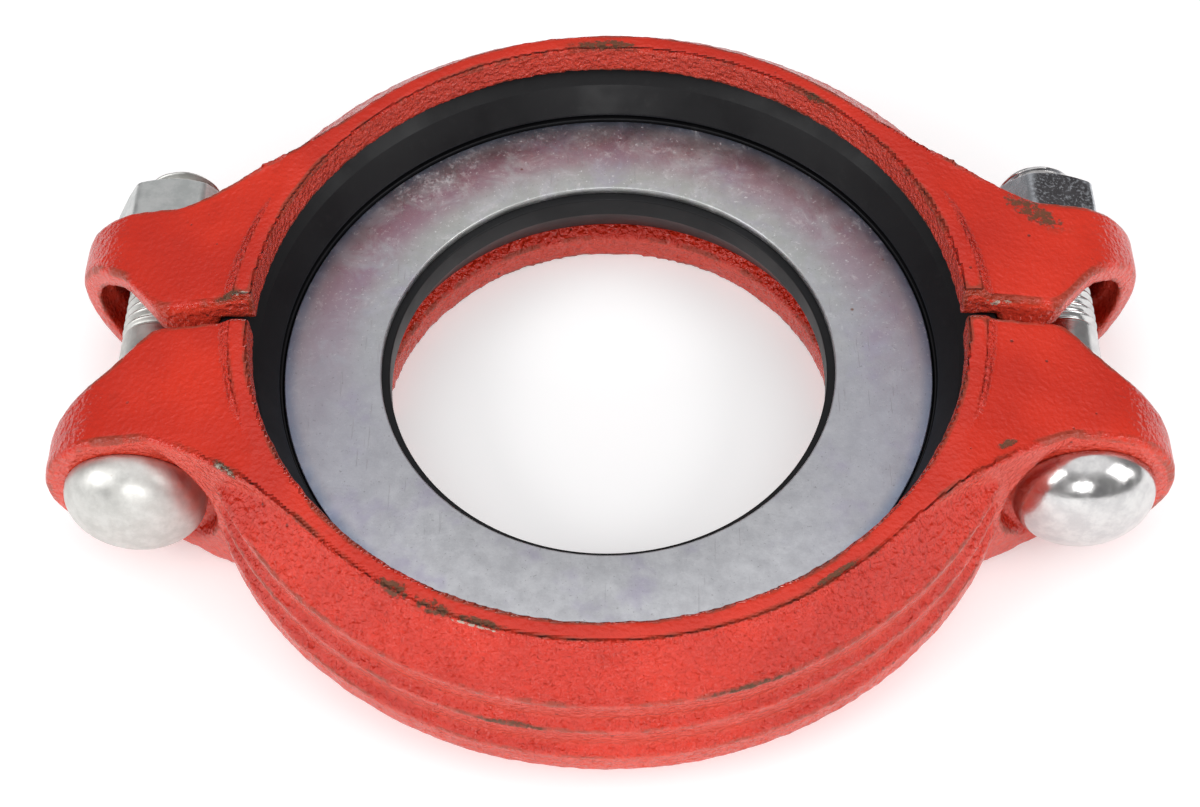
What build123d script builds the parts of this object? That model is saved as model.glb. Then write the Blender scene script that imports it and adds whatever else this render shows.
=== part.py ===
"""Reducing grooved pipe coupling, 6 inch to 4 inch: two castings, gasket, washer, bolts and nuts.

Millimetres. +Z is the pipe axis toward the large pipe, z = 0 is the small-end face,
X runs across the two bolts, and the bolts lie along Y with their heads at the front (-Y).
"""
import os
from math import cos, radians, sin, tan

from build123d import *

# --- pipe grooves and keys -------------------------------------------------
HEIGHT = 50.5             # overall width of the coupling along the pipe axis
LARGE_KEY_R = 82.5        # large key, sits in the groove of the 168.3 mm pipe
LARGE_KEY_Z = 42.5        # underside of the large key
SMALL_KEY_R = 56.2        # small key, sits in the groove of the 114.3 mm pipe
SMALL_KEY_LAND = 7.2      # straight land of the small key
CAVITY_FLOOR_Z = 10.0     # floor of the small end of the gasket cavity
KEY_BEVEL = 4.3           # bevel that leads from the cavity floor to the land
CAVITY_R = 91.5           # large end of the gasket cavity
SMALL_CAVITY_R = 70.0     # small end of the gasket cavity
STEP_OUTER_Z = 21.5       # cavity step, at its outer and inner ends
STEP_INNER_Z = 17.5

# --- outside of the casting ------------------------------------------------
RIM_R = 87.0              # outer edge of the flat rim round the large key
RIM_EDGE_ROUND = 1.0
BAND_R = 97.2             # lower edge of the sloping band
BAND_Z = 40.2
RIB_PITCH = 10.6          # spacing of the ribs under the band
RIB_UNDERCUT = 1.2        # each rib wall leans in by this much
RIB_STEP = 1.9            # each rib ledge steps out by this much
RIB_ROUND = 1.0           # rounding of the rib crests and roots
RIB_WALL = 8.2            # height of a rib wall
SKIRT_Z = 12.6            # lower edge of the last rib
SKIRT_ROUND = 3.0
BOSS_R = 78.0             # round boss that carries the small key
BOSS_Z = 8.0              # height of the boss under the shoulder
BOSS_FILLET = 5.0         # sloping run from the boss to the underside of the shoulder
BOSS_EDGE_ROUND = 2.0
SHOULDER_R = 95.0
SHOULDER_Z = 10.0
SHOULDER_ROUND = 4.0

# --- bolt lugs -------------------------------------------------------------
BOLT_X = 109.2            # bolt axis from the pipe axis
BOLT_Z = 24.5             # bolt axis above the small-end face
LUG_R = 21.0              # outside of the lug round the bolt
LUG_ROOT_X = 64.0         # lugs start this far from the pipe axis, inside the ring wall
LUG_TILT = 8.6            # slope of the lug plates toward the ring, degrees
POCKET_R = 15.0           # hollow inside of the lug
POCKET_SHIFT = 0.9        # hollow sits this much outside the bolt axis
PAD_Y = 34.2              # bolt pad face from the parting plane
PAD_THICK = 8.5
MOUTH_X = 103.0           # where the lug mouth starts to cut back
MOUTH_KNEE = (115.0, 13.5)
MOUTH_END = (131.0, 24.6)
WEB = (                   # outline of the web between pad and ring
    (103.0, PAD_Y), (98.5, 36.2), (92.0, 39.4), (82.5, 45.2), (76.5, 49.3), (70.0, 54.8), (LUG_ROOT_X, 60.0),
)
WEB_TAIL = (              # its upper edge goes on along the rim and fades into it
    (70.0, 54.8), (LUG_ROOT_X, 60.0), (56.0, 66.8), (50.0, 62.0), (72.0, 42.0),
)
WEB_FOOT_Y = 37.0         # the web's underside slopes up from here toward the ring
WEB_FOOT_RISE = 0.85      # and climbs this much per millimetre
SCALLOP_R = 19.2          # wrench clearance cut into the ring next to a pad
HOLE_LONG = 27.4          # oval hole for the bolt neck
HOLE_SHORT = 21.4
PARTING_GAP = 0.5         # each half stops this far from the parting plane
PARTING_DRAFT = 6.0       # draft of the mating faces, degrees

# --- gasket and washer -----------------------------------------------------
GASKET_R = 91.15
GASKET_TOP_Z = 42.0
GASKET_PLAY = 0.4         # gasket stands this far clear of the cavity floor
STEP_PLAY = 0.8           # and this far above the cavity step
LIP_R = 82.2              # large sealing lip
LIP_Z = 37.7
SEAT_R = 77.6             # recess that holds the washer
SEAT_Z = 26.9
LIP_ROOT = 4.3            # the lip slopes out by this much up to the large key
CHANNEL_FLOOR_Z = 29.8    # pressure channel behind the large lip
CHANNEL_DEPTH = 9.0
CHANNEL_MOUTH = 1.5
SMALL_LIP_R = 52.3
SMALL_LIP_Z = 21.2
SMALL_FOOT_R = 57.3
WASHER_OUTER_R = 77.2
WASHER_INNER_R = 54.25
WASHER_THICK = 2.3
WASHER_EDGE = 0.2         # broken edges
WASHER_REST = 0.05        # the washer lies on the seat with this play

# --- bolts and nuts --------------------------------------------------------
BOLT_R = 9.525            # 3/4 inch
BOLT_LENGTH = 92.075      # 3 5/8 inch under the head
HEAD_R = 16.3
HEAD_RIM = 1.2
HEAD_HEIGHT = 11.7
HEAD_EDGE = 0.5           # bevel under the head
NECK_LONG = 25.4
NECK_SHORT = 20.4
NECK_HEIGHT = 8.0
SHANK_R = 9.3             # plain part of the shank
THREAD_LENGTH = 50.7
END_CHAMFER = 1.2
NUT_FLATS = 28.575
NUT_HEIGHT = 15.7
NUT_BORE_R = 9.575        # running clearance on the thread
NUT_GAP = 0.15            # between the nut and the pad
CHAMFER_ANGLE = 30.0
CHAMFER_START = 0.4       # the corner chamfer starts this far inside the flats
BORE_LEAD = 1.0           # countersink of the nut bore
RIGHT_NUT_TURN = 12.5     # the nuts stop at different turns

FAR = 200.0


def revolved(points, rounds=()):
    """Ring with the given (radius, z) outline; rounds lists (index, radius) corner roundings."""
    face = make_face(Polyline(*points, close=True))
    for index, radius in rounds:
        corner = Vector(*points[index])
        vertex = min(face.vertices(), key=lambda v: (Vector(*v) - corner).length)
        face = fillet(vertex, radius)
    return revolve(Plane.XZ * face, axis=Axis.Z, revolution_arc=360)


def rib_points():
    """Outside of the ring from the band edge down to the skirt: leaning walls and sloping ledges."""
    points = [(BAND_R, BAND_Z)]
    r = BAND_R
    z = BAND_Z
    while z - RIB_PITCH > SKIRT_Z:
        points.append((r - RIB_UNDERCUT, z - RIB_WALL))
        r = r - RIB_UNDERCUT + RIB_STEP
        z = z - RIB_PITCH
        points.append((r, z))
    points.append((r, SKIRT_Z))
    return points


def ring_blank():
    """Outside of the cast ring, both halves still in one and still solid inside."""
    ribs = rib_points()
    points = [(0, 0), (0, HEIGHT), (RIM_R, HEIGHT)] + ribs
    base = len(points)
    points += [(SHOULDER_R, SHOULDER_Z), (BOSS_R + BOSS_FILLET, BOSS_Z), (BOSS_R, 0)]
    rounds = [(2, RIM_EDGE_ROUND)]
    rounds += [(i, RIB_ROUND) for i in range(3, base - 1)]
    rounds += [(base - 1, SKIRT_ROUND), (base, SHOULDER_ROUND), (base + 2, BOSS_EDGE_ROUND)]
    return revolved(points, rounds)


def lug_section(side):
    """Lug seen along the bolt: a round eye with plates that run tangent into the ring."""
    tilt = radians(LUG_TILT)
    inner_x = LUG_ROOT_X
    touch_x = BOLT_X + LUG_R * sin(tilt)
    touch_z = LUG_R * cos(tilt)
    root_z = touch_z + (touch_x - inner_x) * tan(tilt)
    plate = Polyline(
        (side * inner_x, BOLT_Z + root_z),
        (side * touch_x, BOLT_Z + touch_z),
        (side * touch_x, BOLT_Z - touch_z),
        (side * inner_x, BOLT_Z - root_z),
        close=True,
    )
    eye = Pos(side * BOLT_X, BOLT_Z) * Circle(LUG_R)
    return Plane.XZ * (make_face(plate) + eye)


def lug_plan(side):
    """Lug seen along the pipe: mating edge, cut-back mouth, pad face and the web into the ring."""
    outline = [(LUG_ROOT_X, 0), (MOUTH_X, 0)]
    outline += [MOUTH_KNEE, MOUTH_END, (MOUTH_END[0], PAD_Y)]
    outline += list(WEB)
    return make_face(Polyline(*[(side * x, -y) for x, y in outline], close=True))


def lug(side):
    """One bolt lug of the front half, hollow, with its pad and oval hole."""
    along = extrude(lug_section(side), amount=PAD_Y * 2, both=True)
    across = extrude(lug_plan(side), amount=HEIGHT + 2 * PAD_Y)
    body = along & Pos(0, 0, -PAD_Y) * across
    body = body & Pos(0, 0, HEIGHT / 2) * Box(4 * LARGE_KEY_R, 4 * PAD_Y, HEIGHT)
    return body - web_relief()


def web_relief():
    """Everything under the sloping underside of the webs."""
    slope_end = (-FAR, (FAR - WEB_FOOT_Y) * WEB_FOOT_RISE)
    outline = Polyline((-WEB_FOOT_Y, 0), slope_end, (-FAR, -FAR), (-WEB_FOOT_Y, -FAR), close=True)
    return extrude(Plane.YZ * make_face(outline), amount=FAR, both=True)


def web_tail(side):
    """Top of the web where it runs out along the rim, standing on the sloping band."""
    outline = Polyline(*[(side * x, -y) for x, y in WEB_TAIL], close=True)
    return Pos(0, 0, BAND_Z) * extrude(make_face(outline), amount=HEIGHT - BAND_Z)


def lug_cuts(side):
    """Everything removed round one bolt: pocket, oval hole and wrench clearance."""
    pocket_x = side * (BOLT_X + POCKET_SHIFT)
    floor_y = PAD_THICK - PAD_Y
    upright = (Align.CENTER, Align.CENTER, Align.MIN)
    pocket = Pos(pocket_x, floor_y, BOLT_Z) * Rot(-90, 0, 0) * Cylinder(POCKET_R, FAR, align=upright)
    oval = Plane.XZ * Pos(side * BOLT_X, BOLT_Z) * SlotOverall(HOLE_LONG, HOLE_SHORT)
    hole = extrude(oval, amount=FAR, both=True)
    scallop = Pos(side * BOLT_X, -PAD_Y, BOLT_Z) * Rot(90, 0, 0) * Cylinder(SCALLOP_R, FAR, align=upright)
    return pocket + hole + scallop


def parting_cut():
    """Keeps the front side of the parting plane; the mating faces lean back from mid height."""
    mid = HEIGHT / 2
    lean = tan(radians(PARTING_DRAFT)) * (mid + 10)
    wedge = Polyline(
        (FAR, -10),
        (-PARTING_GAP - lean, -10),
        (-PARTING_GAP, mid),
        (-PARTING_GAP - lean, HEIGHT + 10),
        (FAR, HEIGHT + 10),
        close=True,
    )
    return extrude(Plane.YZ * make_face(wedge), amount=FAR, both=True)


def cavity_core():
    """Solid that fills both key bores and the gasket cavity."""
    points = [
        (0, -10),
        (SMALL_KEY_R, -10),
        (SMALL_KEY_R, SMALL_KEY_LAND),
        (SMALL_KEY_R + KEY_BEVEL, CAVITY_FLOOR_Z),
        (SMALL_CAVITY_R, CAVITY_FLOOR_Z),
        (SMALL_CAVITY_R, STEP_INNER_Z),
        (CAVITY_R, STEP_OUTER_Z),
        (CAVITY_R, LARGE_KEY_Z),
        (LARGE_KEY_R, LARGE_KEY_Z),
        (LARGE_KEY_R, HEIGHT + 10),
        (0, HEIGHT + 10),
    ]
    return revolved(points)


def front_half():
    """Front housing half with both lugs."""
    body = ring_blank() & Pos(0, -FAR / 2, 0) * Box(2 * FAR, FAR, FAR)
    for side in (-1, 1):
        body = body + lug(side) + web_tail(side)
    for side in (-1, 1):
        body = body - lug_cuts(side)
    return body - parting_cut() - cavity_core()


def gasket():
    """Reducing gasket: large lip with its pressure channel, washer seat, web and small lip."""
    roof_r = LIP_R + LIP_ROOT
    foot_z = CAVITY_FLOOR_Z + GASKET_PLAY
    channel_r = SEAT_R + CHANNEL_DEPTH
    points = [
        (LIP_R, LIP_Z),
        (roof_r, GASKET_TOP_Z - 0.4),
        (roof_r + 1.5, GASKET_TOP_Z),
        (GASKET_R, GASKET_TOP_Z),
        (GASKET_R, STEP_OUTER_Z + STEP_PLAY),
        (SMALL_CAVITY_R - GASKET_PLAY, STEP_INNER_Z + STEP_PLAY),
        (SMALL_CAVITY_R - GASKET_PLAY, foot_z),
        (SMALL_FOOT_R + 1.0, foot_z),
        (SMALL_FOOT_R, foot_z + 1.0),
        (SMALL_LIP_R, SMALL_LIP_Z),
        (SMALL_LIP_R, SEAT_Z),
        (SEAT_R, SEAT_Z),
        (SEAT_R, CHANNEL_FLOOR_Z),
        (channel_r - 2.5, CHANNEL_FLOOR_Z - 2.0),
        (channel_r, CHANNEL_FLOOR_Z + 0.5),
        (channel_r - 0.5, CHANNEL_FLOOR_Z + 4.5),
        (SEAT_R + 0.55, CHANNEL_FLOOR_Z + CHANNEL_MOUTH),
    ]
    return revolved(points, [(3, 1.5), (4, 2.0)])


def washer():
    """Flat steel washer that stops the small pipe."""
    disc = Cylinder(WASHER_OUTER_R, WASHER_THICK) - Cylinder(WASHER_INNER_R, WASHER_THICK)
    disc = chamfer(disc.edges().filter_by(GeomType.CIRCLE), WASHER_EDGE)
    return Pos(0, 0, SEAT_Z + WASHER_REST + WASHER_THICK / 2) * disc


def bolt():
    """Track-head bolt along +Z with the underside of its head at z = 0."""
    dome = Spline((HEAD_R, -HEAD_RIM), (0, -HEAD_HEIGHT), tangents=((0, -1), (-1, 0)))
    seat = (HEAD_R - HEAD_EDGE, 0)
    base = Polyline((0, -HEAD_HEIGHT), (0, 0), seat, (HEAD_R, -HEAD_EDGE), (HEAD_R, -HEAD_RIM))
    head = revolve(Plane.XZ * make_face(dome + base), axis=Axis.Z, revolution_arc=360)
    neck = extrude(SlotOverall(NECK_LONG, NECK_SHORT), amount=NECK_HEIGHT)
    plain = Cylinder(SHANK_R, BOLT_LENGTH - THREAD_LENGTH, align=(Align.CENTER, Align.CENTER, Align.MIN))
    thread = Pos(0, 0, BOLT_LENGTH - THREAD_LENGTH) * Cylinder(
        BOLT_R, THREAD_LENGTH, align=(Align.CENTER, Align.CENTER, Align.MIN)
    )
    thread = chamfer(thread.edges().filter_by(GeomType.CIRCLE).sort_by(Axis.Z)[-1], END_CHAMFER)
    return head + neck + plain + thread


def nut():
    """Hex nut along +Z with its bearing face at z = 0."""
    body = extrude(RegularPolygon(NUT_FLATS / 2, 6, major_radius=False), amount=NUT_HEIGHT)
    corner_r = NUT_FLATS / 2 / cos(radians(30))
    flat_r = NUT_FLATS / 2 - CHAMFER_START
    clear_r = corner_r + 1
    drop = (clear_r - flat_r) * tan(radians(CHAMFER_ANGLE))
    crown = revolved([
        (0, 0),
        (flat_r, 0),
        (clear_r, drop),
        (clear_r, NUT_HEIGHT - drop),
        (flat_r, NUT_HEIGHT),
        (0, NUT_HEIGHT),
    ])
    bore = revolved([
        (0, 0),
        (NUT_BORE_R + BORE_LEAD, 0),
        (NUT_BORE_R, BORE_LEAD),
        (NUT_BORE_R, NUT_HEIGHT - BORE_LEAD),
        (NUT_BORE_R + BORE_LEAD, NUT_HEIGHT),
        (0, NUT_HEIGHT),
    ])
    return (body & crown) - bore


def on_bolt_axis(shape, side, y, turn=0.0):
    """Places a +Z part on one bolt axis, pointing to +Y, turned about that axis."""
    return Pos(side * BOLT_X, y, BOLT_Z) * Rot(-90, 0, 0) * Rot(0, 0, turn) * shape


def main():
    front = front_half()
    rear = Rot(0, 0, 180) * front
    pieces = {
        "housing_front": front,
        "housing_rear": rear,
        "gasket": gasket(),
        "steel_washer": washer(),
    }
    for name, side, turn in (("left", -1, 0.0), ("right", 1, RIGHT_NUT_TURN)):
        pieces["bolt_" + name] = on_bolt_axis(bolt(), side, -PAD_Y)
        pieces["nut_" + name] = on_bolt_axis(nut(), side, PAD_Y + NUT_GAP, turn)
    os.makedirs("parts", exist_ok=True)
    for name, shape in pieces.items():
        export_step(shape, "parts/" + name + ".step")


main()
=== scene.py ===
"""Looks of a reducing grooved pipe coupling: enamelled castings, gasket, plated washer, bolts and nuts.

Metres, in the frame of the CAD model: +Z up along the pipes, bolts along Y with their heads at -Y.
"""
from math import cos, pi, radians, sin, tan

import bmesh
import bpy
import numpy as np
from mathutils import Matrix, Vector, noise


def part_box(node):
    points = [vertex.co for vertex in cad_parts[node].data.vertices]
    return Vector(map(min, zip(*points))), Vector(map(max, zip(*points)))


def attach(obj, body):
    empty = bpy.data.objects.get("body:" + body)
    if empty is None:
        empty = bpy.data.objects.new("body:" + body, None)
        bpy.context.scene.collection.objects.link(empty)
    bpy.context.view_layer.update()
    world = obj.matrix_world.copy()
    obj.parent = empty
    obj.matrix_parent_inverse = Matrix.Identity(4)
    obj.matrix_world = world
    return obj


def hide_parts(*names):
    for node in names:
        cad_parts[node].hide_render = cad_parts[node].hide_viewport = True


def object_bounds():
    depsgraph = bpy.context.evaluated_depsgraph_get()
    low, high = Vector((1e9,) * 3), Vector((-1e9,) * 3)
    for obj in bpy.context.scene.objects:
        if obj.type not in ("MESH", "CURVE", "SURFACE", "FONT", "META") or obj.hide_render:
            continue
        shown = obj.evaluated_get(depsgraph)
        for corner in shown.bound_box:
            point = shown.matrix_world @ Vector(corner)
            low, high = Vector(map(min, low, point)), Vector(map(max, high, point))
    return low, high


MM = 0.001
WELD_REACH = 0.001 * MM       # points closer than this are one

# --- castings ---------------------------------------------------------------
CAD_WELD_REACH = 0.01 * MM    # the same in the mesh that comes from CAD
VOXEL = 0.75 * MM
EDGE_PASSES = 2               # smoothing that rounds the cast edges of the ring
LUG_PASSES = 9                # and the further smoothing of the lugs
LUG_START = 84 * MM           # distance from the middle at which a lug begins
LUG_FULL = 97 * MM            # and at which it counts in full
CURVE_PASSES = 5              # neighbourhood over which an edge is told from a flat
EDGE_HEIGHT = 0.15 * MM       # bulge over its surroundings at which an edge counts as sharp
# wavelength and height of the unevenness everywhere, and of the roughness of the slopes
BROAD_WAVES = ((34 * MM, 0.18 * MM), (11 * MM, 0.08 * MM))
SAND_WAVES = ((3.4 * MM, 0.14 * MM), (1.9 * MM, 0.16 * MM))
SAND_FLAT = 0.14              # how much of the roughness the level faces keep
LUG_SMOOTH = 0.65             # how much of the slopes' roughness the lugs lose
RIB_START = 92 * MM           # the ribs lie outside this radius
RIB_CRISP = 1.3               # how far their crests and roots are drawn out, in bulges
SAND_OFFSET = Vector((3.7, 1.9, 8.3))   # where in the noise the castings lie
LEVEL_RISE = 0.97             # a face is level when the upright part of its normal is above this
LEVEL_BLEND = 0.12            # and fully rough when it is less by this
# steep faces take the painted pale sheen of the enamel
UPRIGHT_RISE = 0.5            # a face begins to count as steep below this
UPRIGHT_BLEND = 0.3           # and counts in full when it is less by this

# --- gasket and washer ------------------------------------------------------
RING_STEPS = 360
CORNER_STEPS = 4
CORNER_SHARE = 0.45           # most of a side that one rounded corner may take
GASKET_OUTLINE = (            # radius, height and corner radius, millimetres
    (82.2, 37.7, 0.35), (86.5, 41.6, 0.3), (88.0, 42.0, 0.3), (91.1, 42.0, 1.4),
    (91.1, 22.3, 1.9), (69.6, 18.3, 0.8), (69.6, 10.4, 0.8), (58.3, 10.4, 0.4),
    (57.3, 11.4, 0.4), (52.3, 21.2, 0.8), (52.3, 26.9, 0.5), (77.6, 26.9, 0.25),
    (77.6, 29.8, 0.25), (84.1, 27.8, 0.8), (86.6, 30.3, 0.8), (86.1, 34.3, 0.8),
    (77.75, 30.4, 0.3),
)
WASHER_BORE = 54.25 * MM
WASHER_EDGE = 0.35 * MM
WASHER_WAVE = 0.05 * MM       # the pressed ring isn't quite flat
WASHER_WAVE_START = 0.7

# --- bolts and nuts ---------------------------------------------------------
TURN_STEPS = 96
HEAD_RADIUS = 16.3 * MM
HEAD_HEIGHT = 11.7 * MM
HEAD_RIM = 1.2 * MM
HEAD_ROUND = 0.6 * MM
ROUND_MIDDLE = 0.3            # how far in the middle of a round lies, in radii
DOME_STEPS = 22
NECK_HALF_LONG = 12.7 * MM
NECK_HALF_SHORT = 10.2 * MM
NECK_HEIGHT = 8.0 * MM
NECK_ROUND = 0.6 * MM
NECK_STEP = 0.4 * MM
SHANK_RADIUS = 9.3 * MM
THREAD_RADIUS = 9.525 * MM
THREAD_DEPTH = 1.5 * MM
THREAD_PITCH = 2.54 * MM
THREAD_LENGTH = 50.7 * MM
THREAD_ROWS = 12              # rows of points in one pitch
THREAD_ROOT = 0.12            # flat part of the thread's root, in pitches
THREAD_FLANK = 0.74           # and both its flanks
THREAD_RUNOUT = 1.3 * THREAD_PITCH
END_RADIUS = 7.745 * MM       # flat end of the bolt, inside its chamfer
NUT_STEPS = 192
NUT_BORE = 9.575 * MM
NUT_LEAD = 1.0 * MM
NUT_CHAMFER = radians(30)
NUT_CHAMFER_START = 0.4 * MM
NUT_FACE_ROUND = 0.2 * MM     # blend from the nut's face into its chamfer
NUT_FACE_DROP = 0.03 * MM
NUT_SIDE_ROUND = 0.15 * MM    # and from the chamfer into its side
NUT_CORNER_ROUND = 0.35 * MM
NUT_HALF_FLATS = 14.2875 * MM
NUT_TURNS = {"left": 0.0, "right": radians(12.5)}

# --- camera and light -------------------------------------------------------
CAMERA_PLACE = (5.26 * MM, -277.3 * MM, 405.7 * MM)
CAMERA_YAW = radians(-1.534)
CAMERA_DIP = radians(54.917)
CAMERA_ROLL = radians(-1.511)
CAMERA_LENS = 58.68
FLOOR_SIZE = 6.0
FLOOR_GLOW = 0.24             # the floor shines a little, as on a light table
FLOOR_GREY = (0.9, 0.9, 0.9, 1)
FLOOR_ROUGHNESS = 0.9
TENT_LEVELS = (               # sine of the elevation and brightness
    (0.0, 0.22), (0.55, 0.25), (0.74, 0.42), (0.90, 1.0), (1.0, 1.0),
)
TENT_BLUE = 1.01
TENT_STRENGTH = 1.13
LAMPS = (                     # name, place, width and power
    ("lamp_left", (-1.15, -0.55, 0.85), 0.8, 10.0),
    ("lamp_right", (1.15, -0.45, 0.85), 0.8, 8.5),
    ("lamp_front", (0.0, -1.3, 0.55), 0.28, 5.5),
)

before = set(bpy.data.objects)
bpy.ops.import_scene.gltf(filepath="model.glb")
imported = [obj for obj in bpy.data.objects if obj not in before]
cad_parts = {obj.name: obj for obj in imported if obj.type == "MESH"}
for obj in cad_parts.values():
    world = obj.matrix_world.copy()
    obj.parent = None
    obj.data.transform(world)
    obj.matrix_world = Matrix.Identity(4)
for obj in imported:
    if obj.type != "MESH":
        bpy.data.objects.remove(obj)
cad_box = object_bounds()


# --- meshes -----------------------------------------------------------------
def piece_from(name, points, faces, sharp=38):
    """New object from points and faces, smooth but for edges over the sharp angle."""
    mesh = bpy.data.meshes.new(name)
    mesh.from_pydata([tuple(p) for p in points], [], faces)
    weld(mesh)
    mesh.shade_smooth()
    mesh.set_sharp_from_angle(angle=radians(sharp))
    piece = bpy.data.objects.new(name, mesh)
    bpy.context.scene.collection.objects.link(piece)
    return piece


def weld(mesh, reach=WELD_REACH):
    """Joins points that lie together and drops the faces that this leaves without area."""
    work = bmesh.new()
    work.from_mesh(mesh)
    bmesh.ops.remove_doubles(work, verts=work.verts, dist=reach)
    bmesh.ops.dissolve_degenerate(work, edges=work.edges, dist=reach)
    bmesh.ops.recalc_face_normals(work, faces=work.faces)
    work.to_mesh(mesh)
    work.free()


def rounded(outline):
    """Closed outline with each corner turned into a curve; a corner is (x, y, radius)."""
    points = []
    count = len(outline)
    for index, (x, y, radius) in enumerate(outline):
        corner = Vector((x, y))
        before = Vector(outline[index - 1][:2]) - corner
        after = Vector(outline[(index + 1) % count][:2]) - corner
        half = before.angle(after) / 2
        reach = min(radius / tan(half), before.length * CORNER_SHARE, after.length * CORNER_SHARE)
        start = corner + before.normalized() * reach
        end = corner + after.normalized() * reach
        for step in range(CORNER_STEPS + 1):
            t = step / CORNER_STEPS
            points.append(start.lerp(corner, t).lerp(corner.lerp(end, t), t))
    return points


def turned(name, outline, lift=None):
    """Ring turned about Z from a closed outline; lift moves each point up by its angle and radius."""
    points = []
    faces = []
    count = len(outline)
    for step in range(RING_STEPS):
        angle = 2 * pi * step / RING_STEPS
        for r, z in outline:
            rise = lift(angle, r) if lift else 0.0
            points.append((r * cos(angle), r * sin(angle), z + rise))
        here = step * count
        there = (step + 1) % RING_STEPS * count
        for i in range(count):
            j = (i + 1) % count
            faces.append((here + i, there + i, there + j, here + j))
    return piece_from(name, points, faces)


def casting(node):
    """The node's shape as a sand casting: edges rounded, skin uneven, its edges and slopes marked."""
    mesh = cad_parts[node].data.copy()
    weld(mesh, CAD_WELD_REACH)
    piece = bpy.data.objects.new(node + "_casting", mesh)
    bpy.context.scene.collection.objects.link(piece)
    remesh = piece.modifiers.new("grid", "REMESH")
    remesh.mode = "VOXEL"
    remesh.voxel_size = VOXEL * 1
    graph = bpy.context.evaluated_depsgraph_get()
    piece.data = bpy.data.meshes.new_from_object(piece.evaluated_get(graph), depsgraph=graph)
    piece.modifiers.clear()
    soften(piece.data)
    roughen(piece.data)
    piece.data.shade_smooth()
    return piece


def read_points(mesh, what):
    values = np.zeros(len(mesh.vertices) * 3)
    mesh.vertices.foreach_get(what, values)
    return values.reshape(-1, 3)


def write_points(mesh, places):
    mesh.vertices.foreach_set("co", places.ravel())
    mesh.update()


def neighbour_mean(mesh):
    """Function that averages each point's value over its neighbours."""
    pairs = np.zeros(len(mesh.edges) * 2, int)
    mesh.edges.foreach_get("vertices", pairs)
    first, second = pairs.reshape(-1, 2).T
    count = len(mesh.vertices)
    shares = np.bincount(first, minlength=count) + np.bincount(second, minlength=count)

    def mean(values):
        columns = [
            np.bincount(first, column[second], count) + np.bincount(second, column[first], count)
            for column in values.T
        ]
        return np.stack(columns, 1) / shares[:, None]

    return mean


def lug_share(places):
    """0 on the ring, rising to 1 on the lugs."""
    return np.clip((np.abs(places[:, 0]) - LUG_START) / (LUG_FULL - LUG_START), 0, 1)


def soften(mesh):
    """Rounds the edges: a little on the ring, more on the lugs."""
    places = read_points(mesh, "co")
    mean = neighbour_mean(mesh)
    lug = lug_share(places)[:, None]
    for _ in range(EDGE_PASSES):
        places = (places + mean(places)) / 2
    for _ in range(LUG_PASSES):
        places = places + lug * (mean(places) - places) / 2
    write_points(mesh, places)


def roughen(mesh):
    """Crisps the ribs, makes the skin uneven and stores what the enamel's look depends on."""
    places = read_points(mesh, "co")
    normals = read_points(mesh, "normal")
    mean = neighbour_mean(mesh)
    around = places
    for _ in range(CURVE_PASSES):
        around = mean(around)
    bulge = ((places - around) * normals).sum(1)
    lug = lug_share(places)
    rise = np.abs(normals[:, 2])
    slope = np.clip((LEVEL_RISE - rise) / LEVEL_BLEND, 0, 1)
    sand = SAND_FLAT + (1 - SAND_FLAT) * slope * (1 - LUG_SMOOTH * lug)
    store(mesh, "edge", bulge / EDGE_HEIGHT)
    store(mesh, "sand", sand)
    # steepness of each face, which drives the painted pale sheen on the enamel's walls
    store(mesh, "upright", np.clip((UPRIGHT_RISE - rise) / UPRIGHT_BLEND, 0, 1))
    ribs = (np.hypot(places[:, 0], places[:, 1]) > RIB_START) * (1 - lug)
    broad = np.array([waves_at(Vector(p), BROAD_WAVES) for p in places])
    fine = np.array([waves_at(Vector(p), SAND_WAVES) for p in places])
    places = places + normals * (broad + fine * sand + bulge * ribs * RIB_CRISP)[:, None]
    places[:, 2] = np.maximum(places[:, 2], cad_box[0][2])
    write_points(mesh, places)


def store(mesh, name, values):
    mesh.attributes.new(name, "FLOAT", "POINT").data.foreach_set("value", values)


def waves_at(place, waves):
    return sum(height * noise.noise(place / wave + SAND_OFFSET) for wave, height in waves)


def gasket_piece():
    outline = [(r * MM, z * MM) for r, z in rounded(GASKET_OUTLINE)]
    return turned("gasket_moulding", outline)


def washer_piece():
    low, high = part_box("steel_washer")
    outer = high.x
    outline = rounded([
        (WASHER_BORE, low.z, WASHER_EDGE), (outer, low.z, WASHER_EDGE),
        (outer, high.z, WASHER_EDGE), (WASHER_BORE, high.z, WASHER_EDGE),
    ])

    def wave(angle, r):
        return WASHER_WAVE * sin(2 * angle + WASHER_WAVE_START) * r / outer

    return turned("washer_ring", outline, wave)


def stadium(angle, half_long, half_short):
    """Distance from the middle to the edge of an oval with straight sides."""
    flat = half_long - half_short
    if abs(cos(angle)) * half_short < flat * abs(sin(angle)):
        return half_short / abs(sin(angle))
    return flat * abs(cos(angle)) + (half_short ** 2 - (flat * sin(angle)) ** 2) ** 0.5


def thread_share(phase):
    """Height of the thread over its root, 0 to 1, along one pitch."""
    ramp = 1 - abs(2 * (phase % 1) - 1)
    return min(1.0, max(0.0, (ramp - THREAD_ROOT) / THREAD_FLANK))


def eased(value):
    """Smooth step from 0 to 1."""
    t = min(1.0, max(0.0, value))
    return t * t * (3 - 2 * t)


def thread_radius(rise, phase, length):
    """Radius on the threaded end, which grows out of the shank and ends in a chamfer."""
    full = THREAD_RADIUS - THREAD_DEPTH * (1 - thread_share(phase))
    start = eased(rise / THREAD_RUNOUT)
    radius = SHANK_RADIUS * (1 - start) + full * start
    return min(radius, END_RADIUS + (length - rise))


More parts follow.
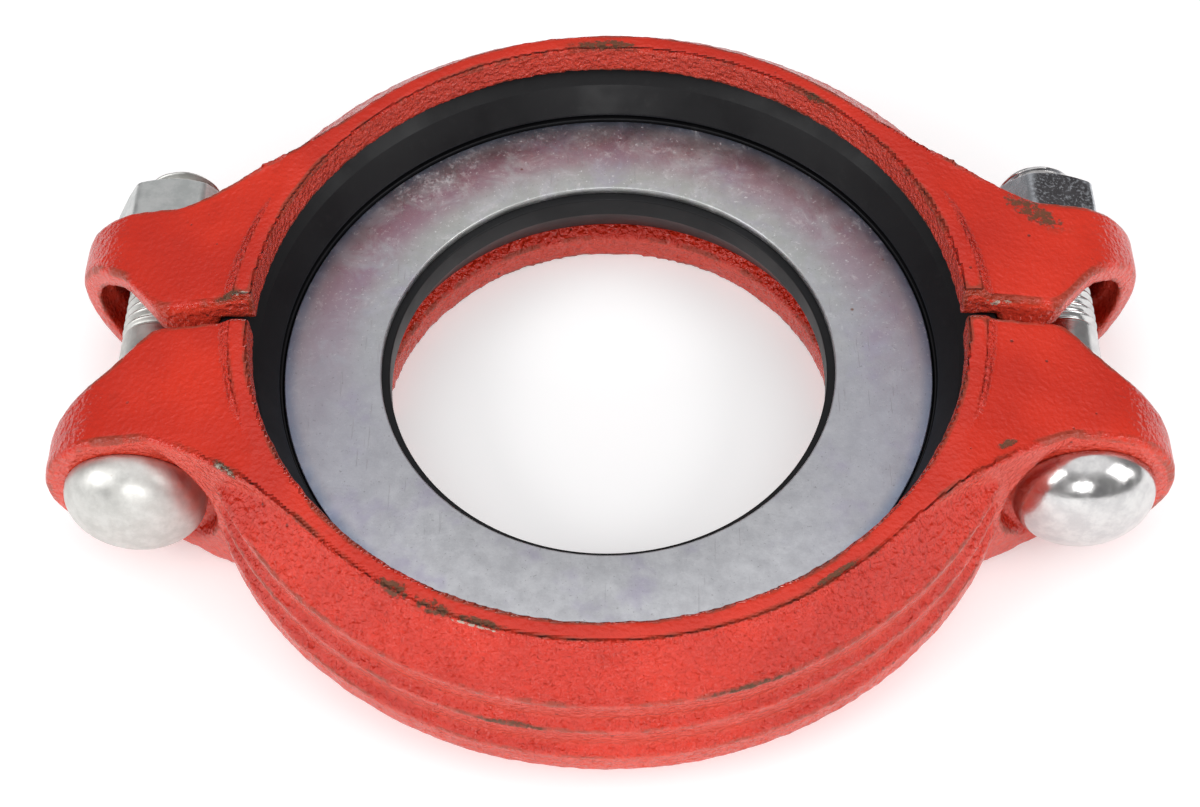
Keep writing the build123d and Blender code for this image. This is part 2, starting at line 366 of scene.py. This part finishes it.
def bolt_rings(length):
    """Height and radius of each ring of points from the head to the thread; None is the oval neck."""
    rings = []
    for step in range(1, DOME_STEPS + 1):
        t = pi / 2 * step / DOME_STEPS
        rings.append((-HEAD_RIM - (HEAD_HEIGHT - HEAD_RIM) * cos(t), HEAD_RADIUS * sin(t)))
    rings.append((-HEAD_ROUND, HEAD_RADIUS))
    rings.append((-HEAD_ROUND * ROUND_MIDDLE, HEAD_RADIUS - HEAD_ROUND * ROUND_MIDDLE))
    rings.append((0.0, HEAD_RADIUS - HEAD_ROUND))
    rings.append((0.0, None))
    rings.append((NECK_HEIGHT - NECK_ROUND, None))
    rings.append((NECK_HEIGHT, SHANK_RADIUS + NECK_STEP))
    rings.append((NECK_HEIGHT + NECK_STEP, SHANK_RADIUS))
    rings.append((length - THREAD_LENGTH, SHANK_RADIUS))
    return rings


def bolt_piece(side_name):
    """Track-head bolt with a cut helical thread, built along Z and laid on its axis."""
    low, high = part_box("bolt_" + side_name)
    length = high.y - low.y - HEAD_HEIGHT
    points = [(0.0, 0.0, -HEAD_HEIGHT)]
    faces = []
    rings = bolt_rings(length)
    for height, radius in rings:
        for step in range(TURN_STEPS):
            angle = 2 * pi * step / TURN_STEPS
            r = stadium(angle, NECK_HALF_LONG, NECK_HALF_SHORT) if radius is None else radius
            points.append((r * cos(angle), r * sin(angle), height))
    for step in range(TURN_STEPS):
        after = (step + 1) % TURN_STEPS
        faces.append((0, 1 + after, 1 + step))
        for ring in range(len(rings) - 1):
            here = 1 + ring * TURN_STEPS
            there = here + TURN_STEPS
            faces.append((here + step, here + after, there + after, there + step))
    add_thread(points, faces, length)
    piece = piece_from("bolt_" + side_name + "_forging", points, faces, sharp=50)
    lay_on_axis(piece.data, Vector(((low.x + high.x) / 2, low.y + HEAD_HEIGHT, (low.z + high.z) / 2)))
    return piece


def add_thread(points, faces, length):
    """Rows of points that climb with the thread between its two ends, and the flat end of the bolt."""
    start = length - THREAD_LENGTH
    rows = int((THREAD_LENGTH + THREAD_PITCH) / THREAD_PITCH * THREAD_ROWS) + 2
    first = len(points)
    for step in range(TURN_STEPS):
        climb = step / TURN_STEPS
        for row in range(rows + 1):
            rise = (row / THREAD_ROWS - 1 + climb) * THREAD_PITCH
            rise = min(THREAD_LENGTH, max(0.0, rise))
            r = thread_radius(rise, row / THREAD_ROWS, THREAD_LENGTH)
            angle = 2 * pi * climb
            points.append((r * cos(angle), r * sin(angle), start + rise))
    for step in range(TURN_STEPS):
        last = step == TURN_STEPS - 1
        here = first + step * (rows + 1)
        there = first if last else here + rows + 1
        skip = THREAD_ROWS if last else 0
        for row in range(rows):
            faces.append((
                here + row,
                there + min(row + skip, rows),
                there + min(row + 1 + skip, rows),
                here + row + 1,
            ))
    centre = len(points)
    points.append((0.0, 0.0, start + THREAD_LENGTH))
    for step in range(TURN_STEPS):
        after = (step + 1) % TURN_STEPS
        faces.append((first + step * (rows + 1) + rows, first + after * (rows + 1) + rows, centre))


def lay_on_axis(mesh, place, turn=0.0):
    """Turns a mesh built along Z about its own axis, points it to +Y and puts it in place."""
    lay = Matrix.Rotation(-pi / 2, 4, "X") @ Matrix.Rotation(turn, 4, "Z")
    mesh.transform(Matrix.Translation(place) @ lay)


def hexagon(angle):
    """Distance from the nut's axis to its side, a hexagon with slightly rounded corners."""
    off = (angle + pi / 6) % (pi / 3) - pi / 6
    sharp = NUT_HALF_FLATS / cos(pi / 6 - abs(off))
    corner = NUT_HALF_FLATS / cos(pi / 6)
    return min(sharp, corner - NUT_CORNER_ROUND * cos(3 * off))


def nut_section(angle, height):
    """Closed outline of the nut, radius and height, at this angle."""
    face = NUT_HALF_FLATS - NUT_CHAMFER_START
    edge = hexagon(angle)
    drop = (edge - face) * tan(NUT_CHAMFER)
    lower = [
        (NUT_BORE, NUT_LEAD), (NUT_BORE + NUT_LEAD, 0), (face - NUT_FACE_ROUND, 0), (face, NUT_FACE_DROP),
        (edge - NUT_SIDE_ROUND, drop), (edge, drop + NUT_FACE_ROUND),
    ]
    upper = [(r, height - z) for r, z in reversed(lower)]
    return lower + upper


def nut_piece(side_name):
    """Hex nut with both corner chamfers and a countersunk bore."""
    low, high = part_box("nut_" + side_name)
    points = []
    faces = []
    for step in range(NUT_STEPS):
        angle = 2 * pi * step / NUT_STEPS
        section = nut_section(angle, high.y - low.y)
        points += [(r * cos(angle), r * sin(angle), z) for r, z in section]
        count = len(section)
        here = step * count
        there = (step + 1) % NUT_STEPS * count
        for i in range(count):
            j = (i + 1) % count
            faces.append((here + i, there + i, there + j, here + j))
    piece = piece_from("nut_" + side_name + "_hex", points, faces, sharp=25)
    middle = Vector(((low.x + high.x) / 2, low.y, (low.z + high.z) / 2))
    lay_on_axis(piece.data, middle, NUT_TURNS[side_name])
    return piece


# --- materials --------------------------------------------------------------
class Look:
    """One material and short calls for the nodes that it uses."""

    def __init__(self, name):
        self.material = bpy.data.materials.new(name)
        self.material.use_nodes = True
        self.nodes = self.material.node_tree.nodes
        self.links = self.material.node_tree.links
        self.shader = self.nodes["Principled BSDF"]
        self.place = self.nodes.new("ShaderNodeTexCoord").outputs["Object"]

    def feed(self, socket, value):
        """Links a socket or sets a value."""
        if isinstance(value, bpy.types.NodeSocket):
            self.links.new(value, socket)
        else:
            socket.default_value = value

    def noise(self, size, detail=3.0, rough=0.55, twist=0.0, place=None):
        node = self.nodes.new("ShaderNodeTexNoise")
        self.feed(node.inputs["Vector"], place or self.place)
        node.inputs["Scale"].default_value = 1 / size
        node.inputs["Detail"].default_value = detail
        node.inputs["Roughness"].default_value = rough
        node.inputs["Distortion"].default_value = twist
        return node.outputs["Fac"]

    def cells(self, size):
        """Distance to the nearest of many scattered points, in shares of their spacing."""
        node = self.nodes.new("ShaderNodeTexVoronoi")
        self.feed(node.inputs["Vector"], self.place)
        node.inputs["Scale"].default_value = 1 / size
        return node.outputs["Distance"]

    def stretched(self, scale, turn):
        node = self.nodes.new("ShaderNodeMapping")
        self.feed(node.inputs["Vector"], self.place)
        node.inputs["Scale"].default_value = scale
        node.inputs["Rotation"].default_value = turn
        return node.outputs["Vector"]

    def math(self, operation, first, second=0.0):
        """One arithmetic step on numbers or sockets."""
        node = self.nodes.new("ShaderNodeMath")
        node.operation = operation
        self.feed(node.inputs[0], first)
        self.feed(node.inputs[1], second)
        return node.outputs[0]

    def times(self, first, second):
        return self.math("MULTIPLY", first, second)

    def span(self, value, low, high, start=0.0, end=1.0):
        """Goes smoothly from start to end while the value goes from low to high."""
        node = self.nodes.new("ShaderNodeMapRange")
        node.interpolation_type = "SMOOTHSTEP"
        self.feed(node.inputs["Value"], value)
        node.inputs["From Min"].default_value = low
        node.inputs["From Max"].default_value = high
        node.inputs["To Min"].default_value = start
        node.inputs["To Max"].default_value = end
        return node.outputs["Result"]

    def mixed(self, share, first, second):
        """First colour with this share of the second."""
        node = self.nodes.new("ShaderNodeMix")
        node.data_type = "RGBA"
        self.feed(node.inputs[0], share)
        self.feed(node.inputs[6], first)
        self.feed(node.inputs[7], second)
        return node.outputs[2]

    def spread(self):
        """Distance from the Z axis."""
        node = self.nodes.new("ShaderNodeVectorMath")
        node.operation = "MULTIPLY"
        self.feed(node.inputs[0], self.place)
        node.inputs[1].default_value = (1, 1, 0)
        away = self.nodes.new("ShaderNodeVectorMath")
        away.operation = "LENGTH"
        self.links.new(node.outputs["Vector"], away.inputs[0])
        return away.outputs["Value"]

    def attribute(self, name):
        node = self.nodes.new("ShaderNodeAttribute")
        node.attribute_name = name
        return node.outputs["Fac"]

    def oval(self, centre, turn, halves):
        """1 at the middle of an oval that lies level and turned, falling to 0 at its edge."""
        node = self.nodes.new("ShaderNodeMapping")
        node.vector_type = "TEXTURE"
        self.feed(node.inputs["Vector"], self.place)
        node.inputs["Location"].default_value = [c * MM for c in centre]
        node.inputs["Rotation"].default_value = (0, 0, radians(turn))
        node.inputs["Scale"].default_value = [half * MM for half in halves]
        away = self.nodes.new("ShaderNodeVectorMath")
        away.operation = "LENGTH"
        self.links.new(node.outputs["Vector"], away.inputs[0])
        return self.span(away.outputs["Value"], 0.25, 1.0, 1.0, 0.0)

    def most(self, values):
        """Largest of several values."""
        total = values[0]
        for value in values[1:]:
            total = self.math("MAXIMUM", total, value)
        return total

    def axis(self, name):
        node = self.nodes.new("ShaderNodeSeparateXYZ")
        self.feed(node.inputs[0], self.place)
        return node.outputs[name]

    def bump(self, height, depth, under=None):
        node = self.nodes.new("ShaderNodeBump")
        node.inputs["Strength"].default_value = 1.0
        node.inputs["Distance"].default_value = depth
        self.feed(node.inputs["Height"], height)
        if under:
            self.feed(node.inputs["Normal"], under)
        return node.outputs["Normal"]


RED_DEEP = (0.50, 0.016, 0.004, 1)
RED_BRIGHT = (0.64, 0.026, 0.007, 1)
RED_DARK = (0.36, 0.018, 0.005, 1)
# painted sheen: pale pink that stands in for the bright floor reflected in the steep enamel walls
RED_PAINTED_SHEEN = (0.66, 0.080, 0.048, 1)
PIT_DARK = (0.07, 0.012, 0.006, 1)
WORN_BROWN = (0.17, 0.035, 0.012, 1)
DIRT_OLIVE = (0.070, 0.042, 0.014, 1)
BARE_IRON = (0.42, 0.37, 0.30, 1)
ENAMEL_ROUGHNESS = (0.17, 0.27)
PEEL_SIZE = 1.35 * MM         # orange peel of the enamel on rough iron
PEEL_DEPTH = 1.2 * MM
DIMPLE_SIZE = 1.25 * MM
DIMPLE_SHARE = 0.45
GRAIN_SIZE = 0.6 * MM
GRAIN_DEPTH = 0.3 * MM
PIT_SPACING = 5.5 * MM
PIT_DEPTH = 0.12 * MM
# how strongly each colour covers the enamel
DARK_COVER = 0.22
PAINTED_SHEEN_COVER = 0.5
PIT_COVER = 0.75
CREST_COVER = 0.62
STAIN_COVER = 0.45
DIRT_COVER = 0.85
BARE_COVER = 0.9
# each dirty place on the castings: middle, turn and half lengths, millimetres and degrees
DIRT_MARKS = (
    ((-1.0, 83.8, 50.5), 0, (14.0, 2.8, 3.0)),
    ((-44.5, -74.5, 50.5), -31, (7.0, 3.4, 3.0)),
    ((-36.0, -79.0, 50.5), -25, (8.0, 3.0, 3.0)),
    ((-26.0, -82.6, 50.5), -17, (9.0, 1.5, 3.0)),
    ((-84.0, 46.0, 50.0), 35, (9.0, 2.4, 3.0)),
    ((-79.0, 51.0, 50.0), 35, (5.0, 1.8, 3.0)),
    ((-88.0, 4.0, 49.0), 8, (6.0, 1.8, 4.0)),
    ((102.5, 30.0, 47.0), -32, (13.5, 5.2, 8.0)),
    ((-84.0, -44.0, 50.0), -36, (9.0, 2.0, 3.0)),
    ((51.5, 65.0, 50.5), -39, (6.0, 1.5, 3.0)),
    ((81.0, 49.0, 50.0), -35, (8.0, 1.5, 3.0)),
    ((48.4, -71.3, 50.5), 34, (11.0, 1.3, 3.0)),
    ((88.0, -38.0, 49.0), 30, (5.0, 1.8, 3.0)),
    ((-20.0, -96.0, 29.6), -12, (14.0, 3.0, 1.6)),
    ((30.0, -93.0, 40.2), 18, (20.0, 3.0, 1.4)),
)
# and each place where an edge is rubbed to bare metal
BARE_MARKS = (
    ((-27.0, -83.3, 50.4), -18, (10.0, 0.45, 3.0)),
    ((-84.5, -43.6, 50.0), -36, (8.0, 1.1, 3.0)),
    ((-84.5, 4.0, 49.5), 8, (5.0, 0.8, 3.0)),
    ((91.0, 2.6, 48.0), 0, (9.0, 0.7, 4.0)),
)


def red_enamel():
    """Glossy orange-red enamel over rough iron, with a painted pale pink sheen on its steep walls, browned
    and rubbed through along the edges.
    """
    look = Look("red_enamel")
    cloud = look.noise(4 * MM, 4.0, 0.6)
    fleck = look.noise(1.3 * MM, 5.0, 0.7)
    edge = look.attribute("edge")
    colour = look.mixed(look.span(look.noise(30 * MM, 2.0), 0.3, 0.7), RED_DEEP, RED_BRIGHT)
    colour = look.mixed(look.times(look.span(cloud, 0.55, 0.75), DARK_COVER), colour, RED_DARK)
    # painted sheen: steep walls are made pale pink, in place of the reflection of the bright floor
    colour = look.mixed(look.times(look.attribute("upright"), PAINTED_SHEEN_COVER), colour, RED_PAINTED_SHEEN)
    pits = look.span(look.cells(PIT_SPACING), 0.085, 0.05)
    pits = look.times(pits, look.span(look.noise(9 * MM, 1.0), 0.45, 0.6))
    colour = look.mixed(look.times(pits, PIT_COVER), colour, PIT_DARK)
    crest = look.times(look.span(edge, 0.60, 1.1), look.span(look.noise(14 * MM, 3.0, 0.7), 0.42, 0.60))
    colour = look.mixed(look.times(crest, CREST_COVER), colour, WORN_BROWN)
    place = look.most([look.oval(*mark) for mark in DIRT_MARKS])
    stain = look.times(place, look.span(cloud, 0.40, 0.62, end=STAIN_COVER))
    colour = look.mixed(stain, colour, WORN_BROWN)
    dirt = look.span(look.math("ADD", fleck, look.times(place, 0.40)), 0.76, 0.90)
    colour = look.mixed(look.times(dirt, DIRT_COVER), colour, DIRT_OLIVE)
    rubbed = look.most([look.oval(*mark) for mark in BARE_MARKS])
    bare = look.span(look.math("ADD", fleck, look.times(rubbed, 0.30)), 0.74, 0.80)
    colour = look.mixed(look.times(bare, BARE_COVER), colour, BARE_IRON)
    look.feed(look.shader.inputs["Base Color"], colour)
    gloss = look.span(look.noise(11 * MM, 3.0), 0.3, 0.7, *ENAMEL_ROUGHNESS)
    dull = look.math("ADD", look.times(dirt, 0.35), look.times(crest, 0.15))
    look.feed(look.shader.inputs["Roughness"], look.math("ADD", gloss, dull))
    hollows = look.math("SUBTRACT", 1.0, look.math("MAXIMUM", pits, dirt))
    look.feed(look.shader.inputs["Normal"], look.bump(hollows, PIT_DEPTH, orange_peel(look)))
    return look.material


def orange_peel(look):
    """Dimples and grain of the enamel, strongest on the rough slopes."""
    sand = look.attribute("sand")
    dimples = look.times(look.cells(DIMPLE_SIZE), DIMPLE_SHARE)
    peel = look.times(look.math("ADD", look.noise(PEEL_SIZE, 2.0, 0.5, 0.3), dimples), sand)
    skin = look.bump(peel, PEEL_DEPTH)
    return look.bump(look.times(look.noise(GRAIN_SIZE, 2.0, 0.5), sand), GRAIN_DEPTH, skin)


RUBBER_BLACK = (0.007, 0.007, 0.008, 1)
RUBBER_DUST = (0.026, 0.025, 0.025, 1)
RUBBER_ROUGHNESS = (0.36, 0.52)
RUBBER_SHINE = 0.22
RUBBER_GRAIN = 0.012 * MM
RUBBER_WAVE = 0.12 * MM


def black_rubber():
    """Moulded black rubber with faint dust and rubbed grey streaks."""
    look = Look("black_rubber")
    dust = look.span(look.noise(3 * MM, 5.0, 0.65), 0.55, 0.8)
    colour = look.mixed(look.times(dust, 0.35), RUBBER_BLACK, RUBBER_DUST)
    look.feed(look.shader.inputs["Base Color"], colour)
    streaks = look.span(look.noise(14 * MM, 3.0), 0.3, 0.7, *RUBBER_ROUGHNESS)
    look.feed(look.shader.inputs["Roughness"], streaks)
    look.shader.inputs["Specular IOR Level"].default_value = RUBBER_SHINE
    fine = look.bump(look.noise(0.5 * MM, 2.0), RUBBER_GRAIN)
    look.feed(look.shader.inputs["Normal"], look.bump(look.noise(9 * MM, 2.0), RUBBER_WAVE, fine))
    return look.material


WASHER_GREY = (0.650, 0.655, 0.680, 1)
WASHER_DULL = (0.515, 0.520, 0.545, 1)
TINT_MAGENTA = (0.40, 0.22, 0.30, 1)
TINT_VIOLET = (0.44, 0.40, 0.54, 1)
# painted shade: bluish grey for the left and right of the washer
WASHER_SIDE_SHADE = (0.43, 0.43, 0.50, 1)
TINT_BLUE = (0.22, 0.30, 0.44, 1)
TINT_GREEN = (0.47, 0.50, 0.45, 1)
STAIN_WHITE = (0.86, 0.87, 0.88, 1)
RUST = (0.23, 0.085, 0.03, 1)
WASHER_SOOT = (0.16, 0.15, 0.15, 1)
CRUST_MARK = ((-45.0, 57.0, 29.0), 38, (24.0, 8.0, 9.0))   # white crust, given as the dirt marks are
STAIN_SHARE = 0.40
SPECK_SHARE = 0.75
CRUST_SHARE = 0.7
SOOT_SHARE = 0.45
RUST_SHARE = 0.75
SCRATCH_SHARE = 0.35
WASHER_ROUGHNESS = (0.34, 0.48)
STAIN_DULLING = 0.25
ROLLED_DEPTH = 0.022 * MM
SCRATCH_DEPTH = 0.02 * MM
SCRATCH_WAYS = ((0.4, 14.0), (1.3, 18.0), (2.2, 12.0))      # turn and narrowness of each set of scratches


def washer_tints(look):
    """Thin passivation colours: blue at the outer edge, rose and green toward the back, violet clouds; and
    painted shade, bluish grey, toward the left and right.
    """
    radius = look.spread()
    back = look.span(look.axis("Y"), -30 * MM, 55 * MM)
    left = look.span(look.axis("X"), 20 * MM, -75 * MM, 0.6, 1.0)
    cloud = look.noise(11 * MM, 5.0, 0.7, 0.8)
    colour = look.mixed(look.span(look.noise(5 * MM, 6.0, 0.75), 0.3, 0.7), WASHER_DULL, WASHER_GREY)
    # painted shade: the washer grows darker and bluish toward its left and right
    side = look.span(look.math("ABSOLUTE", look.axis("X")), 30 * MM, 78 * MM, 0.0, 0.7)
    colour = look.mixed(side, colour, WASHER_SIDE_SHADE)
    violet = look.times(look.span(look.noise(19 * MM, 4.0, 0.65), 0.50, 0.68), 0.55)
    colour = look.mixed(violet, colour, TINT_VIOLET)
    ring = look.times(look.span(radius, 57 * MM, 65 * MM), look.span(radius, 77 * MM, 70 * MM))
    rose = look.times(look.times(ring, back), look.span(cloud, 0.34, 0.58))
    colour = look.mixed(look.times(rose, look.times(left, 0.80)), colour, TINT_MAGENTA)
    inner = look.times(look.span(radius, 66 * MM, 57 * MM), look.span(cloud, 0.3, 0.6))
    colour = look.mixed(look.times(look.times(inner, back), 0.6), colour, TINT_GREEN)
    outer = look.span(radius, 73.5 * MM, 77 * MM, 0.0, 0.7)
    return look.mixed(look.times(outer, look.span(cloud, 0.3, 0.5, 0.5, 1.0)), colour, TINT_BLUE)


def washer_plate():
    """Zinc-plated steel with a thin iridescent passivation, stains, specks, scratches and rust dots."""
    look = Look("zinc_washer")
    colour = washer_tints(look)
    back = look.span(look.axis("Y"), -20 * MM, 50 * MM, 0.25, 1.0)
    stains = look.span(look.noise(5 * MM, 7.0, 0.8, 0.5), 0.56, 0.66)
    crust = look.times(look.oval(*CRUST_MARK), look.span(look.noise(2.6 * MM, 6.0, 0.8), 0.50, 0.62))
    specks = look.span(look.noise(0.9 * MM, 4.0, 0.7), 0.61, 0.67)
    pale = look.math("MAXIMUM", look.times(stains, STAIN_SHARE), look.times(specks, SPECK_SHARE))
    pale = look.math("MAXIMUM", look.times(pale, back), look.times(crust, CRUST_SHARE))
    colour = look.mixed(pale, colour, STAIN_WHITE)
    soot = look.span(look.noise(0.8 * MM, 4.0, 0.7), 0.37, 0.31)
    colour = look.mixed(look.times(soot, SOOT_SHARE), colour, WASHER_SOOT)
    spot = look.cells(10 * MM)
    ring = look.times(look.span(spot, 0.035, 0.055), look.span(spot, 0.085, 0.065))
    ring = look.times(ring, look.span(look.noise(26 * MM, 1.0, 0.5), 0.44, 0.54))
    colour = look.mixed(look.times(ring, RUST_SHARE), colour, RUST)
    scratch = scratches(look)
    colour = look.mixed(look.times(scratch, SCRATCH_SHARE), colour, WASHER_DULL)
    look.feed(look.shader.inputs["Base Color"], colour)
    look.shader.inputs["Metallic"].default_value = 1.0
    rough = look.span(look.noise(8 * MM, 5.0, 0.7), 0.3, 0.7, *WASHER_ROUGHNESS)
    look.feed(look.shader.inputs["Roughness"], look.math("ADD", rough, look.times(pale, STAIN_DULLING)))
    rolled = look.bump(look.noise(0.7 * MM, 4.0, 0.65), ROLLED_DEPTH)
    marked = look.bump(look.math("SUBTRACT", 1.0, scratch), SCRATCH_DEPTH, rolled)
    look.feed(look.shader.inputs["Normal"], marked)
    return look.material


def scratches(look):
    """Thin straight marks in a few directions."""
    lines = []
    for turn, narrow in SCRATCH_WAYS:
        strands = look.noise(9 * MM, 2.0, 0.4, place=look.stretched((narrow, 0.55, 1.0), (0, 0, turn)))
        lines.append(look.span(strands, 0.735, 0.765))
    return look.most(lines)


MILL_SCALE = (0.10, 0.09, 0.095, 1)
SCALED_FLAT = ((112.5, 43.0, 38.3), 0, (10.0, 14.0, 7.0))   # on the right nut, given as the dirt marks are
SCALE_COVER = 0.9
RUST_SPREAD = 0.05
ZINC_DENTS = 0.06 * MM
ZINC_GRAIN = 0.012 * MM
ZINC_LOOKS = {                # colour, darker colour, range of roughness, rust, and a place with mill scale
    "dull_zinc": ((0.63, 0.625, 0.60, 1), (0.54, 0.535, 0.51, 1), (0.40, 0.55), 0.5, None),
    "bright_zinc": ((0.66, 0.65, 0.64, 1), (0.54, 0.53, 0.53, 1), (0.14, 0.26), 0.1, None),
    "dull_nut_zinc": ((0.66, 0.67, 0.66, 1), (0.54, 0.56, 0.55, 1), (0.42, 0.56), 0.1, None),
    "dark_nut_zinc": ((0.66, 0.68, 0.72, 1), (0.50, 0.52, 0.55, 1), (0.20, 0.36), 0.1, SCALED_FLAT),
}
BOLT_ZINC = {"left": "dull_zinc", "right": "bright_zinc"}
NUT_ZINC = {"left": "dull_nut_zinc", "right": "dark_nut_zinc"}


def plated(name):
    """Plated steel of a bolt or nut: blotchy zinc with rust spots and perhaps a place with mill scale."""
    colour, dark, roughness, rust, scale_mark = ZINC_LOOKS[name]
    look = Look(name)
    shade = look.mixed(look.span(look.noise(4 * MM, 5.0, 0.7), 0.35, 0.65), dark, colour)
    spots = look.span(look.noise(2.6 * MM, 5.0, 0.7), 0.70 - RUST_SPREAD * rust, 0.76)
    shade = look.mixed(look.times(spots, rust), shade, RUST)
    if scale_mark:
        cover = look.times(look.oval(*scale_mark), 3.0)
        grains = look.span(look.noise(0.8 * MM, 4.0, 0.7), 0.62, 0.44)
        cover = look.math("MINIMUM", look.times(cover, grains), SCALE_COVER)
        shade = look.mixed(cover, shade, MILL_SCALE)
    look.feed(look.shader.inputs["Base Color"], shade)
    look.shader.inputs["Metallic"].default_value = 1.0
    look.feed(look.shader.inputs["Roughness"], look.span(look.noise(3 * MM, 4.0), 0.3, 0.7, *roughness))
    dents = look.bump(look.noise(4.5 * MM, 3.0), ZINC_DENTS)
    look.feed(look.shader.inputs["Normal"], look.bump(look.noise(0.7 * MM, 2.0), ZINC_GRAIN, dents))
    return look.material


# --- stage ------------------------------------------------------------------
def lay_floor():
    """Plain pale floor under the part."""
    half = FLOOR_SIZE / 2
    level = cad_box[0][2]
    corners = [(-half, -half, level), (half, -half, level), (half, half, level), (-half, half, level)]
    mesh = bpy.data.meshes.new("floor")
    mesh.from_pydata(corners, [], [(0, 1, 2, 3)])
    floor = bpy.data.objects.new("floor", mesh)
    bpy.context.scene.collection.objects.link(floor)
    look = Look("pale_floor")
    look.shader.inputs["Base Color"].default_value = FLOOR_GREY
    look.shader.inputs["Roughness"].default_value = FLOOR_ROUGHNESS
    look.shader.inputs["Emission Color"].default_value = (1, 1, 1, 1)
    look.shader.inputs["Emission Strength"].default_value = FLOOR_GLOW
    mesh.materials.append(look.material)


def set_camera():
    """Camera at the photograph's viewing angle."""
    ahead = cos(CAMERA_DIP)
    forward = Vector((sin(CAMERA_YAW) * ahead, cos(CAMERA_YAW) * ahead, -sin(CAMERA_DIP)))
    level = Vector((cos(CAMERA_YAW), -sin(CAMERA_YAW), 0))
    upward = level.cross(forward)
    right = level * cos(CAMERA_ROLL) + upward * sin(CAMERA_ROLL)
    up = upward * cos(CAMERA_ROLL) - level * sin(CAMERA_ROLL)
    camera = bpy.data.objects.new("camera", bpy.data.cameras.new("camera"))
    camera.data.lens = CAMERA_LENS
    camera.data.clip_start = 0.01
    turn = Matrix((right, up, -forward)).transposed().to_4x4()
    camera.matrix_world = Matrix.Translation(CAMERA_PLACE) @ turn
    bpy.context.scene.collection.objects.link(camera)
    bpy.context.scene.camera = camera


def softbox(name, place, size, power):
    """Square soft lamp that faces the part."""
    lamp = bpy.data.lights.new(name, "AREA")
    lamp.size = size
    lamp.energy = power
    holder = bpy.data.objects.new(name, lamp)
    holder.location = place
    holder.rotation_euler = (-Vector(place)).to_track_quat("-Z", "Y").to_euler()
    bpy.context.scene.collection.objects.link(holder)


def set_light():
    """Bright white tent, dimmer towards the horizon, with three soft lamps."""
    world = bpy.data.worlds.new("tent")
    bpy.context.scene.world = world
    world.use_nodes = True
    nodes = world.node_tree.nodes
    links = world.node_tree.links
    ways = nodes.new("ShaderNodeTexCoord")
    split = nodes.new("ShaderNodeSeparateXYZ")
    links.new(ways.outputs["Generated"], split.inputs[0])
    ramp = nodes.new("ShaderNodeValToRGB")
    ramp.color_ramp.interpolation = "EASE"
    ramp.color_ramp.elements.remove(ramp.color_ramp.elements[1])
    for index, (rise, level) in enumerate(TENT_LEVELS):
        stop = ramp.color_ramp.elements[0] if index == 0 else ramp.color_ramp.elements.new(rise)
        stop.position = rise
        stop.color = (level, level, level * TENT_BLUE, 1)
    links.new(split.outputs["Z"], ramp.inputs["Fac"])
    back = nodes["Background"]
    links.new(ramp.outputs["Color"], back.inputs["Color"])
    back.inputs["Strength"].default_value = TENT_STRENGTH
    for name, place, size, power in LAMPS:
        softbox(name, place, size, power)
    bpy.context.scene.view_settings.view_transform = "Standard"


# --- the part ---------------------------------------------------------------
def finish_piece(piece, node, body, material):
    """Gives a piece its material and its place in the frame."""
    piece.data.materials.clear()
    piece.data.materials.append(material)
    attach(piece, body)
    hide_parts(node)


def build():
    set_camera()
    set_light()
    lay_floor()
    enamel = red_enamel()
    finish_piece(casting("housing_front"), "housing_front", "front_half", enamel)
    finish_piece(casting("housing_rear"), "housing_rear", "rear_half", enamel)
    finish_piece(gasket_piece(), "gasket", "front_half", black_rubber())
    finish_piece(washer_piece(), "steel_washer", "washer", washer_plate())
    zinc = {name: plated(name) for name in ZINC_LOOKS}
    for side_name in ("left", "right"):
        bolt = bolt_piece(side_name)
        finish_piece(bolt, "bolt_" + side_name, "front_half", zinc[BOLT_ZINC[side_name]])
        nut = nut_piece(side_name)
        finish_piece(nut, "nut_" + side_name, side_name + "_nut", zinc[NUT_ZINC[side_name]])


build()
